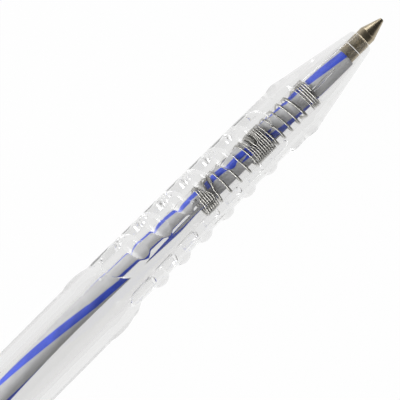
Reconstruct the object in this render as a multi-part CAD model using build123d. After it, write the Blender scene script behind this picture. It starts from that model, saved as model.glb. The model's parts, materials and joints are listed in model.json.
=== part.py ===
from build123d import *
import math
import os

# A retractable ballpoint pen with a clear barrel, in millimetres.
# It is modelled along +X, ball first, round the X axis. A station is a distance from the front
# of the ball while the point is out. At the end every piece is turned so that the point looks
# along +X, and the pen is laid on Z = 0 with its box centred on the origin.

# Travel of the refill and the button, back from the written position and forward past it
retract_travel = 5.5
press_travel = 1.0

# Writing ball and its metal point
ball_diameter = 0.7
ball_clearance = 0.02
ball_bare_length = 0.2
lip_wall = 0.07
cone_length = 2.86
point_diameter = 2.57
point_length = 7.65
point_groove_depth = 0.05
spigot_length = 4.0
spigot_clearance = 0.01
feed_diameter = 0.45
feed_length = 1.2
chamber_diameter = 1.2

# Refill tube, its pinched ears and its ink
tube_diameter = 3.04
tube_bore = 2.1
ink_clearance = 0.02
ink_length = 66.0
ear_length = 1.2
ear_thickness = 0.8
ear_gap = 0.05

# The tube bows to one side of the barrel. The shares are of the room that it has there,
# and of its length where it reaches them.
spring_drift_share = 0.6
bow_drift_share = 0.91
bow_place_share = 0.63
bow_end_share = 0.92
bend_share = 0.45

# Return spring
wire_diameter = 0.36
spring_length = 22.7
coil_tube_clearance = 0.35
coil_bore_clearance = 0.07
coil_gap = 0.45
seat_gap = 0.03
open_half_turns = 10
tight_half_turns = (3, 9, 6)

# Barrel outside, from the nose to the tail
tip_reach = 4.2
nose_length = 12.7
nose_front_diameter = 3.76
nose_rear_diameter = 8.54
nose_edge_radius = 0.45
shoulder_length = 2.6
shoulder_diameter = 9.08
shoulder_crest_share = 0.58
grip_length = 36.1
grip_front_diameter = 8.68
grip_rear_diameter = 9.62
ring_length = 4.4
ring_diameter = 10.42
ring_crest_share = 0.62
barrel_diameter = 10.0
barrel_length = 120.8

# Barrel inside
guide_clearance = 0.08
guide_step_length = 0.35
tube_clearance = 0.26
spring_seat_depth = 10.8
flare_gap = 3.2
flare_length = 16.0
barrel_bore = 6.0

# Grip pads, slightly crowned flats round the barrel, and their bumps
pad_count = 3
pad_turn = 33.0
pad_start = 2.8
pad_length = 32.4
pad_width = 6.4
pad_front_height = 3.9
pad_rear_height = 4.03
pad_crown_radius = 14.0
bump_count = 6
bump_pitch = 4.48
bump_lead = 0.7
bump_radius = 1.57
bump_relief = 0.03

# Cam sleeve with stop ribs, fixed in the tail of the barrel
sleeve_diameter = 7.0
sleeve_clearance = 0.03
sleeve_length = 23.0
sleeve_bore = 6.1
rotor_room = 7.0
rib_count = 4
rib_bore = 5.0
rib_width = 2.1
rib_length = 9.9
rib_slope = 0.6

# Rotor cam on the tail of the refill
rotor_diameter = 4.6
rotor_length = 4.85
rotor_gap = 0.05
rotor_pin_diameter = 1.8
rotor_pin_length = 2.5
fin_clearance = 0.1
fin_width = 1.3
fin_length = 3.7
fin_gap = 0.3
tooth_count = 8
tooth_height = 0.5

# Push button, a plunger with crown teeth and guide fins
crown_gap = 0.15
crown_bore = 3.0
crown_bore_depth = 6.0
button_fin_length = 3.0
stop_gap = 0.35
shaft_diameter = 5.2
shaft_clearance = 0.1
shaft_slack = 0.15
button_bare_length = 7.0
button_edge_radius = 0.7

# End cap
cap_length = 8.0
cap_spigot_length = 3.0
cap_edge_radius = 0.8

# Pocket clip, which tilts a little on a round bead snapped into the cap
clip_width = 4.2
clip_thickness = 1.4
clip_gap = 1.5
clip_length = 38.0
clip_corner_radius = 1.1
clip_edge_radius = 0.4
clip_bead_radius = 1.6
clip_bead_setback = 2.4
clip_bead_gap = 0.1
bridge_length = 4.5
bridge_setback = 2.0
bridge_gap = 0.25
pivot_diameter = 1.4
pivot_depth = 0.85
pivot_clearance = 0.08
neck_thickness = 0.9
neck_clearance = 0.25

# One overrun for all cuts
overrun = 1.0

# Stations of the refill
lip_station = ball_bare_length
cone_end_station = lip_station + cone_length
tube_front_station = lip_station + point_length
spigot_end_station = tube_front_station + spigot_length

# Stations of the barrel
nose_front_station = tip_reach
nose_rear_station = nose_front_station + nose_length
grip_front_station = nose_rear_station + shoulder_length
grip_rear_station = grip_front_station + grip_length
ring_rear_station = grip_rear_station + ring_length
tail_station = nose_front_station + barrel_length
nose_bore_station = tube_front_station - press_travel
guide_end_station = nose_bore_station - guide_step_length
spring_front_station = nose_front_station + spring_seat_depth
spring_rear_station = spring_front_station + spring_length
flare_front_station = spring_rear_station + flare_gap
flare_rear_station = flare_front_station + flare_length

# Stations of the click mechanism
sleeve_rear_station = tail_station - cap_spigot_length
sleeve_front_station = sleeve_rear_station - sleeve_length
rib_front_station = sleeve_front_station + rotor_room
rib_rear_station = rib_front_station + rib_length
rotor_rear_station = rib_front_station - fin_gap
rotor_front_station = rotor_rear_station - rotor_length
tube_rear_station = rotor_front_station - rotor_gap
crown_station = rotor_rear_station + crown_gap
shaft_front_station = rib_rear_station + press_travel + shaft_slack
cap_rear_station = tail_station + cap_length
pen_length = cap_rear_station + button_bare_length

# Radii that follow from the sizes above
guide_radius = point_diameter / 2 + guide_clearance
nose_bore_radius = tube_diameter / 2 + tube_clearance
coil_radius = tube_diameter / 2 + coil_tube_clearance + wire_diameter / 2
spring_bore_radius = coil_radius + wire_diameter / 2 + coil_bore_clearance
sleeve_seat_radius = sleeve_diameter / 2 + sleeve_clearance
shaft_hole_radius = shaft_diameter / 2 + shaft_clearance
fin_radius = sleeve_bore / 2 - fin_clearance
slots_radius = sleeve_bore / 2


def turned(outline):
    """Solid of a closed outline of (station, radius) turned round the pen's axis."""
    return revolve(Plane.XZ * make_face(outline), Axis.X)


def lathe(*corners):
    """Turned solid of an outline of straight lines."""
    return turned(Polyline(*corners, close=True))


def drum(front, rear, radius):
    """Plain round solid from one station to another."""
    return lathe((front, 0), (rear, 0), (rear, radius), (front, radius))


def around(shape, count):
    """Copies of a shape at even turns round the pen's axis."""
    return [Rot(360 * i / count, 0, 0) * shape for i in range(count)]


def make_ball():
    return Pos(ball_diameter / 2, 0, 0) * Sphere(ball_diameter / 2)


def make_point_socket():
    """Metal point: lip, cone, body with two turned grooves, spigot in the tube, ink channel."""
    point_radius = point_diameter / 2
    spigot_radius = tube_bore / 2 - spigot_clearance
    lip_radius = ball_diameter / 2 + lip_wall
    feed_end = ball_diameter / 2 + feed_length
    body = lathe(
        (lip_station, 0),
        (lip_station, lip_radius),
        (cone_end_station, point_radius),
        (tube_front_station, point_radius),
        (tube_front_station, spigot_radius),
        (spigot_end_station, spigot_radius),
        (spigot_end_station, 0),
    )
    groove = Torus(point_radius, point_groove_depth)
    grooves = [Pos(x, 0, 0) * Rot(0, 90, 0) * groove for x in (cone_end_station, guide_end_station)]
    seat = Pos(ball_diameter / 2, 0, 0) * Sphere(ball_diameter / 2 + ball_clearance)
    feed = drum(ball_diameter / 2, feed_end + overrun, feed_diameter / 2)
    chamber = drum(feed_end, spigot_end_station + overrun, chamber_diameter / 2)
    return body - grooves - seat - feed - chamber


def tube_route():
    """Centre line of the tube: straight at the point and the tail, bowed to one side between."""
    tube_length = tube_rear_station - tube_front_station
    spring_drift = spring_drift_share * coil_tube_clearance
    bow_drift = bow_drift_share * (barrel_bore - tube_diameter) / 2
    corners = [
        Vector(tube_front_station, 0, 0),
        Vector(spring_front_station, 0, 0),
        Vector(spring_rear_station, -spring_drift, 0),
        Vector(tube_front_station + bow_place_share * tube_length, -bow_drift, 0),
        Vector(tube_front_station + bow_end_share * tube_length, 0, 0),
        Vector(tube_rear_station, 0, 0),
    ]
    radii = []
    for before, corner, after in zip(corners, corners[1:], corners[2:]):
        turn = math.radians((corner - before).get_angle(after - corner))
        shorter = min((corner - before).length, (after - corner).length)
        radii.append(bend_share * shorter / math.tan(turn / 2))
    return FilletPolyline(*corners, radius=radii), spring_drift


def swept_round(route, radius):
    """Round bar along a route."""
    return sweep(Plane(route @ 0, z_dir=route % 0) * Circle(radius), path=route)


def make_refill_tube():
    """Bowed tube with two pinched ears that the spring pushes on."""
    route, spring_drift = tube_route()
    ear_span = 2 * coil_radius
    ear_station = spring_rear_station + ear_gap + ear_length / 2
    ear_outline = Plane.XZ * Rot(0, 0, 90) * SlotOverall(ear_span, ear_length)
    ears = Pos(ear_station, -spring_drift, 0) * extrude(ear_outline, ear_thickness / 2, both=True)
    bore = swept_round(route, tube_bore / 2)
    tube = swept_round(route, tube_diameter / 2) - bore
    expected = math.pi / 4 * (tube_diameter**2 - tube_bore**2) * route.length
    print("refill tube: volume over section times length", round(tube.volume / expected, 4))
    return tube + (ears - bore)


def make_ink_column():
    route, _ = tube_route()
    ink_front = spigot_end_station + ink_clearance
    room = drum(ink_front, ink_front + ink_length, tube_diameter)
    return swept_round(route, tube_bore / 2 - ink_clearance) & room


def biarc(start, start_way, end, end_way):
    """Two arcs that leave start along start_way and reach end along end_way."""
    chord = end - start
    lean = chord.dot(start_way + end_way)
    spread = 2 * (1 - start_way.dot(end_way))
    reach = (math.sqrt(lean * lean + spread * chord.dot(chord)) - lean) / spread
    middle = (start + start_way * reach + end - end_way * reach) * 0.5
    first = TangentArc(start, middle, tangent=start_way)
    return [first, TangentArc(middle, end, tangent=first % 1)]


def make_return_spring():
    """Right-hand coil with tight turns at both ends and in the middle, and open turns between."""
    tight_rise = (wire_diameter + coil_gap) / 2
    front = spring_front_station + seat_gap + wire_diameter / 2
    rear = spring_rear_station - wire_diameter / 2
    open_room = rear - front - sum(tight_half_turns) * tight_rise
    open_rise = open_room / (2 * open_half_turns)
    open_group = [open_rise] * open_half_turns
    rises = [tight_rise] * tight_half_turns[0]
    for tight in tight_half_turns[1:]:
        rises += open_group + [tight_rise] * tight
    knots = []
    station = front
    for i in range(len(rises) + 1):
        near = rises[max(i - 1, 0)]
        far = rises[min(i, len(rises) - 1)]
        angle = math.pi * i
        place = Vector(station, coil_radius * math.cos(angle), coil_radius * math.sin(angle))
        rise_rate = (near + far) / (2 * math.pi)
        way = Vector(rise_rate, -coil_radius * math.sin(angle), coil_radius * math.cos(angle))
        knots.append((place, way.normalized()))
        station += far
    arcs = []
    for (start, start_way), (end, end_way) in zip(knots, knots[1:]):
        arcs += biarc(start, start_way, end, end_way)
    print_least_gap(arcs)
    return swept_round(Wire(arcs), wire_diameter / 2)


def print_least_gap(arcs):
    """Least distance between the faces of neighbouring turns, measured on points of the wire."""
    steps_per_arc = 10
    points = [arc @ (i / steps_per_arc) for arc in arcs for i in range(steps_per_arc)]
    half_turn = 2 * steps_per_arc
    least = min(
        (points[i] - points[j]).length
        for i in range(len(points))
        for j in range(i + half_turn, len(points))
    )
    print("return spring: least gap to itself", round(least - wire_diameter, 3))


def grip_radius(station):
    """Outer radius of the tapered grip."""
    share = (station - grip_front_station) / grip_length
    return (grip_front_diameter + share * (grip_rear_diameter - grip_front_diameter)) / 2


def make_pad_cutter():
    """What is cut away at one pad: a crowned flat with round ends, less its bumps."""
    pad_middle = grip_front_station + pad_start + pad_length / 2
    plan = Plane.XY * Pos(pad_middle, 0) * SlotOverall(pad_length, pad_width)
    cutter = extrude(plan, ring_diameter)
    fall = math.degrees(math.atan2(pad_rear_height - pad_front_height, pad_length))
    floor_height = (pad_front_height + pad_rear_height) / 2
    crown = Rot(0, 90 - fall, 0) * Cylinder(pad_crown_radius, 2 * pad_length)
    cutter -= Pos(pad_middle, 0, floor_height - pad_crown_radius) * crown
    first_bump = pad_middle - bump_lead - bump_pitch * (bump_count - 1) / 2
    for i in range(bump_count):
        station = first_bump + i * bump_pitch
        crest = grip_radius(station) - bump_relief
        cutter -= Pos(station, 0, 0) * Rot(0, 90, 0) * Torus(crest - bump_radius, bump_radius)
    return cutter


def make_barrel():
    """Clear one-piece barrel: nose, shoulder, grip with pads, ring and body, with its stepped bore."""
    shoulder_crest = nose_rear_station + shoulder_crest_share * shoulder_length
    ring_crest = grip_rear_station + ring_crest_share * ring_length
    nose_front = (nose_front_station, nose_front_diameter / 2)
    nose_rear = (nose_rear_station, nose_rear_diameter / 2)
    grip_front = (grip_front_station, grip_front_diameter / 2)
    grip_rear = (grip_rear_station, grip_rear_diameter / 2)
    ring_rear = (ring_rear_station, barrel_diameter / 2)
    outside = [
        Line(nose_front, nose_rear),
        ThreePointArc(nose_rear, (shoulder_crest, shoulder_diameter / 2), grip_front),
        Line(grip_front, grip_rear),
        ThreePointArc(grip_rear, (ring_crest, ring_diameter / 2), ring_rear),
    ]
    inside = Polyline(
        ring_rear,
        (tail_station, barrel_diameter / 2),
        (tail_station, sleeve_seat_radius),
        (sleeve_front_station, sleeve_seat_radius),
        (sleeve_front_station, barrel_bore / 2),
        (flare_rear_station, barrel_bore / 2),
        (flare_front_station, spring_bore_radius),
        (spring_front_station, spring_bore_radius),
        (spring_front_station, nose_bore_radius),
        (nose_bore_station, nose_bore_radius),
        (guide_end_station, guide_radius),
        (nose_front_station, guide_radius),
        nose_front,
    )
    section = make_face(outside + inside.edges())
    nose_corner = section.vertices().sort_by_distance(nose_front)[0]
    section = fillet(nose_corner, nose_edge_radius)
    barrel = revolve(Plane.XZ * section, Axis.X)
    pad_cutter = Rot(pad_turn, 0, 0) * make_pad_cutter()
    return barrel - around(pad_cutter, pad_count)


def rib_blank(front, rear, slope, width, inner_radius, outer_radius):
    """Block on top of the axis with a slanted front or rear end, between two radii."""
    plan = Polyline(
        (front[0], -width / 2),
        (front[0] + front[1] * slope, width / 2),
        (rear[0] + rear[1] * slope, width / 2),
        (rear[0], -width / 2),
        close=True,
    )
    block = extrude(make_face(plan), outer_radius)
    hollow = drum(front[0] - overrun, rear[0] + overrun, inner_radius)
    return (block & drum(front[0] - overrun, rear[0] + overrun, outer_radius)) - hollow


def make_cam_sleeve():
    """Sleeve with four ribs. The rotor's fins rest on their slanted ends or run between them."""
    shell = lathe(
        (sleeve_front_station, slots_radius),
        (sleeve_front_station, sleeve_diameter / 2),
        (sleeve_rear_station, sleeve_diameter / 2),
        (sleeve_rear_station, shaft_hole_radius),
        (rib_rear_station, shaft_hole_radius),
        (rib_rear_station, slots_radius),
    )
    wall_middle = (slots_radius + sleeve_diameter / 2) / 2
    rib = rib_blank(
        (rib_front_station, 1), (rib_rear_station, 0), rib_slope, rib_width, rib_bore / 2, wall_middle
    )
    ribs = around(Rot(180 / rib_count, 0, 0) * rib, rib_count)
    return shell + ribs


def crown_notches(station):
    """Bars across the axis that cut a ring of pointed teeth into an end face."""
    bar_side = tooth_height * math.sqrt(2)
    bar = Rot(0, 45, 0) * Box(bar_side, rotor_diameter, bar_side)
    return [Pos(station, 0, 0) * shape for shape in around(bar, tooth_count)[: tooth_count // 2]]


def make_rotor_cam():
    """Cam with a pin in the tail of the tube, four fins with slanted ends and a toothed rear face."""
    pin_front = tube_rear_station - rotor_pin_length
    body = lathe(
        (pin_front, 0),
        (pin_front, rotor_pin_diameter / 2),
        (rotor_front_station, rotor_pin_diameter / 2),
        (rotor_front_station, rotor_diameter / 2),
        (rotor_rear_station, rotor_diameter / 2),
        (rotor_rear_station, 0),
    )
    inner_radius = (rotor_pin_diameter + rotor_diameter) / 4
    fin_front = (rotor_rear_station - fin_length, 0)
    fin_rear = (rotor_rear_station - rib_slope, 1)
    fin = rib_blank(fin_front, fin_rear, rib_slope, fin_width, inner_radius, fin_radius)
    return body + around(fin, rib_count) - crown_notches(rotor_rear_station)


def make_push_button():
    """Plunger: toothed hollow crown, guide fins in the sleeve's slots, shaft through the cap."""
    fin_rear = rib_rear_station - retract_travel - stop_gap
    body = lathe(
        (crown_station, crown_bore / 2),
        (crown_station, rotor_diameter / 2),
        (shaft_front_station, rotor_diameter / 2),
        (shaft_front_station, shaft_diameter / 2),
        (pen_length, shaft_diameter / 2),
        (pen_length, 0),
        (crown_station + crown_bore_depth, 0),
        (crown_station + crown_bore_depth, crown_bore / 2),
    )
    body = body - crown_notches(crown_station)
    inner_radius = (crown_bore + rotor_diameter) / 4
    fin_front = fin_rear - button_fin_length
    fin = rib_blank((fin_front, 0), (fin_rear, 0), rib_slope, fin_width, inner_radius, fin_radius)
    end_edge = body.edges().filter_by(GeomType.CIRCLE).sort_by(Axis.X)[-1]
    return fillet(end_edge, button_edge_radius) + around(fin, rib_count)


# Places that the cap and the clip share, with the clip on top of the axis
clip_rear_station = cap_rear_station - bridge_setback
pivot_station = clip_rear_station - bridge_length / 2
pivot_height = ring_diameter / 2 - pivot_depth
clip_outer_height = barrel_diameter / 2 + clip_gap + clip_thickness

# The pen lies on its ring and its cap, rolled until the clip's long edge meets the same surface
edge_height = clip_outer_height - clip_edge_radius
edge_offset = clip_width / 2 - clip_edge_radius
edge_drop = math.asin((ring_diameter / 2 - clip_edge_radius) / math.hypot(edge_height, edge_offset))
clip_turn = -90.0 - math.degrees(edge_drop - math.atan2(edge_offset, edge_height))


def make_end_cap():
    """Collar with a spigot in the barrel, a hole for the button and a groove for the clip's bead."""
    cap_radius = ring_diameter / 2
    body = lathe(
        (sleeve_rear_station, shaft_hole_radius),
        (sleeve_rear_station, sleeve_diameter / 2),
        (tail_station, sleeve_diameter / 2),
        (tail_station, cap_radius),
        (cap_rear_station, cap_radius),
        (cap_rear_station, shaft_hole_radius),
    )
    rear_edge = body.edges().filter_by(GeomType.CIRCLE).sort_by(Axis.X)[-2:].sort_by(SortBy.RADIUS)[-1]
    body = fillet(rear_edge, cap_edge_radius)
    groove_radius = pivot_diameter / 2 + pivot_clearance
    groove = Pos(pivot_station, 0, pivot_height) * Rot(90, 0, 0) * Cylinder(groove_radius, 2 * cap_radius)
    mouth_width = neck_thickness + 2 * neck_clearance
    mouth = Pos(pivot_station, 0, pivot_height + cap_radius / 2) * Box(mouth_width, 2 * cap_radius, cap_radius)
    return body - Rot(clip_turn, 0, 0) * (groove + mouth)


def make_pocket_clip():
    """Clip with a bead that presses on the cloth, on a bridge and neck with a round snap bead."""
    tip_station = clip_rear_station - clip_length
    inner_height = clip_outer_height - clip_thickness
    bridge_height = ring_diameter / 2 + bridge_gap
    side = make_face(
        Polyline(
            (tip_station, inner_height),
            (tip_station, clip_outer_height),
            (clip_rear_station, clip_outer_height),
            (clip_rear_station, bridge_height),
            (clip_rear_station - bridge_length, bridge_height),
            (clip_rear_station - bridge_length, inner_height),
            close=True,
        )
    )
    top_corners = side.vertices().group_by(Axis.Y)[-1]
    side = fillet(top_corners, clip_corner_radius)
    bead_height = barrel_diameter / 2 + clip_bead_gap + clip_bead_radius
    bead = Pos(tip_station + clip_bead_setback, bead_height) * Circle(clip_bead_radius)
    below = Pos(tip_station + clip_bead_setback, 0) * Rectangle(2 * clip_bead_radius, 2 * clip_outer_height)
    arm = extrude(Plane.XZ * (side + (bead & below)), clip_width / 2, both=True)
    long_edges = arm.edges().filter_by(Axis.X).group_by(Axis.Z)[-1]
    arm = fillet(long_edges, clip_edge_radius)
    pivot = Pos(pivot_station, 0, pivot_height) * Rot(90, 0, 0) * Cylinder(pivot_diameter / 2, clip_width)
    neck_length = bridge_height - pivot_height + clip_thickness / 2
    neck = Pos(pivot_station, 0, pivot_height + neck_length / 2) * Box(neck_thickness, clip_width, neck_length)
    return Rot(clip_turn, 0, 0) * (arm + neck + pivot)


pieces = {
    "barrel": make_barrel(),
    "cam_sleeve": make_cam_sleeve(),
    "end_cap": make_end_cap(),
    "pocket_clip": make_pocket_clip(),
    "return_spring": make_return_spring(),
    "refill_tube": make_refill_tube(),
    "ink_column": make_ink_column(),
    "point_socket": make_point_socket(),
    "writing_ball": make_ball(),
    "rotor_cam": make_rotor_cam(),
    "push_button": make_push_button(),
}

point_first = Rot(0, 0, 180)
box = Compound([point_first * piece for piece in pieces.values()]).bounding_box()
rest = Pos(-box.center().X, -box.center().Y, -box.min.Z) * point_first

os.makedirs("parts", exist_ok=True)
for name, piece in pieces.items():
    export_step(rest * piece, f"parts/{name}.step")

# Places that the joints need
for label, place in {
    "ball centre": (ball_diameter / 2, 0, 0),
    "rotor middle": ((rotor_front_station + rotor_rear_station) / 2, 0, 0),
    "button end": (pen_length, 0, 0),
}.items():
    print(label, [round(v, 4) for v in (rest * Pos(*place)).position])
pivot_place = Rot(clip_turn, 0, 0) * Pos(pivot_station, 0, pivot_height)
print("clip pivot", [round(v, 4) for v in (rest * pivot_place).position], "turn", round(clip_turn, 3))
print("box", box.size)
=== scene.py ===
"""Models and finishes a clear retractable ballpoint pen around its packed solids."""

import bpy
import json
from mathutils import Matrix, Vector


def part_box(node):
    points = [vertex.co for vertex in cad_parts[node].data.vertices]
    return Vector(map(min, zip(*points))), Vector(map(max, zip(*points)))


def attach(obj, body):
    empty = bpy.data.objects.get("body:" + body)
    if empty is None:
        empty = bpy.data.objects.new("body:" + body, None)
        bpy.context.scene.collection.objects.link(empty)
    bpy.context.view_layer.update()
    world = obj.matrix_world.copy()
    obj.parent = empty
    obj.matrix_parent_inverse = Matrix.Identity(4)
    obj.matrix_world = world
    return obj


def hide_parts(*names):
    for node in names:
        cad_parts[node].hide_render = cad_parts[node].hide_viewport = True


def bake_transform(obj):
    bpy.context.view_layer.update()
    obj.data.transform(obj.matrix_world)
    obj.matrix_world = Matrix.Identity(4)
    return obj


bl_info = {
    "name": "Clear Click Pen",
    "version": (1, 0, 0),
    "blender": (4, 5, 0),
    "location": "View3D > Sidebar > Pen",
    "description": "Models and finishes a clear retractable ballpoint pen around its packed solids",
    "category": "Object",
}

import json
import math

import bmesh
import bpy
from bpy.props import FloatProperty, FloatVectorProperty, IntProperty, PointerProperty
from mathutils import Matrix, Vector

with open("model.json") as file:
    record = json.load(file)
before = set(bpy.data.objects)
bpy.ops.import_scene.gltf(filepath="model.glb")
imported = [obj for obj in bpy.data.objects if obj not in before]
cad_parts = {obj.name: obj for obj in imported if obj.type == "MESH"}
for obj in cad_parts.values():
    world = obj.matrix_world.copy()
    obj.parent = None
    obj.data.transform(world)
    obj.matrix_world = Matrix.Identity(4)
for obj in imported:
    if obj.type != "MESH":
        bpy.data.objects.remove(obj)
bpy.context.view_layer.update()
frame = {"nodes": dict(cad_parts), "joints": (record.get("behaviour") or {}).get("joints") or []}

# Lengths are in metres
MM = 0.001

# Steps round the pen's axis, on the barrel and on plainer turned pieces
BARREL_STEPS = 256
TURNED_STEPS = 96

# Steps across a rounded edge, and across a small one
EDGE_STEPS = 4
SMALL_EDGE_STEPS = 3

# Turned corners stay sharp above this angle, and points closer than this are one
SHARP_ANGLE = math.radians(32)
MERGE_DISTANCE = 0.0005 * MM


def joint(name):
    """One joint of the packed record."""
    return next(j for j in frame["joints"] if j["name"] == name)


# Pieces are made in the pen's own frame. X is the station, the distance from the front of the ball, and Z
# is up. The seat turns that frame half round and puts it where the ball is.
TIP = Vector(joint("ball_roll")["pos_m"])
TIP.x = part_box("writing_ball")[1].x
SEAT = Matrix.Translation(TIP) @ Matrix.Rotation(math.pi, 4, "Z")


def stations(node):
    """Front and rear station of a packed node."""
    low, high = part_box(node)
    return TIP.x - high.x, TIP.x - low.x


def size(name, millimetres, description):
    """A length that a user can set."""
    return FloatProperty(
        name=name, description=description, default=millimetres * MM, min=0.0, precision=5, unit="LENGTH"
    )


def share(name, value, description):
    """A share from 0 to 1 that a user can set."""
    return FloatProperty(
        name=name, description=description, default=value, min=0.0, max=1.0, subtype="FACTOR"
    )


def angle(name, degrees, description):
    """An angle that a user can set."""
    return FloatProperty(name=name, description=description, default=math.radians(degrees), subtype="ANGLE")


def count(name, number, description):
    """A whole number that a user can set."""
    return IntProperty(name=name, description=description, default=number, min=1)


def power(name, watts, description):
    """The power of a lamp that a user can set."""
    return FloatProperty(name=name, description=description, default=watts, min=0.0, unit="POWER")


def brightness(name, value, description):
    """A brightness that a user can set, where 1 is white."""
    return FloatProperty(
        name=name, description=description, default=value, min=0.0, soft_max=10.0, subtype="FACTOR"
    )


def colour(name, red_green_blue, description):
    """A colour that a user can set."""
    return FloatVectorProperty(
        name=name,
        description=description,
        default=red_green_blue,
        size=3,
        min=0.0,
        max=1.0,
        subtype="COLOR",
    )


class BarrelSizes(bpy.types.PropertyGroup):
    """Sizes and tint of the clear barrel."""

    nose_length: size("Nose length", 12.7, "From the front of the barrel to the shoulder")
    nose_front_diameter: size("Nose front diameter", 3.76, "Across the front of the nose")
    nose_rear_diameter: size("Nose rear diameter", 8.54, "Across the nose at the shoulder")
    nose_edge: size("Nose edge", 0.45, "Rounding of the front edge")
    shoulder_length: size("Shoulder length", 2.6, "Length of the bulge behind the nose")
    shoulder_diameter: size("Shoulder diameter", 9.08, "Across the bulge behind the nose")
    grip_length: size("Grip length", 36.1, "From the shoulder to the ring")
    grip_front_diameter: size("Grip front diameter", 8.68, "Across the front of the grip")
    grip_rear_diameter: size("Grip rear diameter", 9.62, "Across the rear of the grip")
    ring_length: size("Ring length", 4.4, "Length of the ring behind the grip")
    ring_diameter: size("Ring diameter", 10.42, "Across the ring")
    diameter: size("Barrel diameter", 10.0, "Across the plain barrel")
    bore: size("Bore", 6.0, "Inside diameter of the plain barrel")
    spring_bore: size("Spring bore", 4.6, "Inside diameter round the spring")
    nose_bore: size("Nose bore", 3.56, "Inside diameter round the front of the refill")
    guide_bore: size("Guide bore", 2.73, "Inside diameter round the metal point")
    rib_count: count("Nose ribs", 3, "Ribs in front of the spring")
    rib_turn: angle("Rib turn", -5.0, "Turn of the first rib away from the top")
    rib_length: size("Rib length", 4.2, "Length of the ribs")
    rib_width: size("Rib width", 0.45, "Width of a rib's foot")
    rib_height: size("Rib height", 0.18, "Height of the ribs")
    sleeve_bore: size("Sleeve bore", 7.06, "Inside diameter round the cam sleeve")
    pad_count: count("Pads", 3, "Grip pads round the barrel")
    pad_turn: angle("Pad turn", 33.0, "Turn of the first pad away from the top")
    pad_start: size("Pad start", 2.8, "From the shoulder to the pads")
    pad_length: size("Pad length", 32.4, "Length of a pad")
    pad_width: size("Pad width", 6.4, "Width of a pad's round ends")
    pad_front_height: size("Pad front height", 3.9, "From the axis to the front of a pad")
    pad_rear_height: size("Pad rear height", 4.03, "From the axis to the rear of a pad")
    pad_crown: size("Pad crown", 14.0, "Radius across a pad")
    pad_edge: size("Pad edge", 0.05, "Softness of a pad's edges")
    bump_count: count("Bumps", 6, "Bumps on each pad")
    bump_pitch: size("Bump pitch", 4.48, "From one bump to the next")
    bump_lead: size("Bump lead", 0.7, "How far the bumps lie in front of the middle of their pad")
    bump_radius: size("Bump radius", 1.57, "Radius of a bump along the pen")
    tint: colour("Tint", (0.955, 0.954, 0.95), "Tint of each pass through the surface")
    depth_tint: colour("Depth tint", (0.66, 0.657, 0.65), "Tint that grows with the depth of the plastic")


class SpringSizes(bpy.types.PropertyGroup):
    """Sizes and colour of the return spring."""

    wire: size("Wire", 0.32, "Diameter of the wire")
    coil_radius: size("Coil radius", 2.11, "From the axis to the middle of the wire")
    front_pitch: size("Front pitch", 0.38, "From one tight turn to the next at the front")
    middle_pitch: size("Middle pitch", 0.37, "From one tight turn to the next in the middle")
    rear_pitch: size("Rear pitch", 0.37, "From one tight turn to the next at the rear")
    front_turns: count("Front turns", 4, "Tight turns at the front")
    front_open_turns: count("Front open turns", 5, "Open turns in front of the middle")
    middle_turns: count("Middle turns", 10, "Tight turns in the middle")
    rear_open_turns: count("Rear open turns", 4, "Open turns behind the middle")
    rear_turns: count("Rear turns", 6, "Tight turns at the rear")
    rear_tilt: angle("Rear tilt", 11.0, "Tilt of the rear turns, back on the pen's right")
    front_open_share: share("Front open share", 0.494, "Share of the open length in front of the middle")
    steel: colour("Steel", (0.56, 0.55, 0.52), "Colour of the wire")


class RefillSizes(bpy.types.PropertyGroup):
    """Sizes and colours of the refill tube and its ink."""

    diameter: size("Tube diameter", 3.04, "Across the tube")
    bore: size("Tube bore", 2.1, "Inside diameter of the tube")
    ear_span: size("Ear span", 4.1, "Across the two pinched ears")
    ear_length: size("Ear length", 1.2, "Length of the ears along the tube")
    ear_thickness: size("Ear thickness", 0.8, "Thickness of the ears")
    pinch: share("Pinch", 0.22, "Share of its width that the tube loses at the ears")
    pinch_reach: size("Pinch reach", 4.5, "How far from the ears the tube is narrower")
    stripe_width: angle("Stripe width", 40.0, "Turn round the tube that a stripe covers")
    plastic: colour("Plastic", (0.66, 0.66, 0.67), "Colour of the tube")
    stripe: colour("Stripe", (0.07, 0.125, 0.78), "Colour of the stripes")
    ink: colour("Ink", (0.02, 0.03, 0.22), "Colour of the ink")


class PointSizes(bpy.types.PropertyGroup):
    """Sizes and colours of the metal point."""

    cone_length: size("Cone length", 2.86, "Length of the cone behind the ball")
    diameter: size("Point diameter", 2.57, "Across the point behind the cone")
    lip: size("Lip", 0.05, "Thickness of the lip round the ball")
    lip_reach: size("Lip reach", 0.1, "How far the lip is spun forward over the ball")
    lip_gap: size("Lip gap", 0.02, "Room between the lip and the ball")
    spigot_diameter: size("Spigot diameter", 2.08, "Across the part inside the tube")
    channel: size("Channel", 1.2, "Inside diameter of the ink channel")
    feed: size("Feed", 0.45, "Inside diameter of the feed behind the ball")
    feed_length: size("Feed length", 1.2, "Length of the feed behind the ball")
    groove: size("Groove", 0.03, "Depth of the turned grooves")
    metal: colour("Metal", (0.46, 0.395, 0.285), "Colour of the point")
    ball: colour("Ball", (0.20, 0.19, 0.17), "Colour of the ball")


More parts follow.
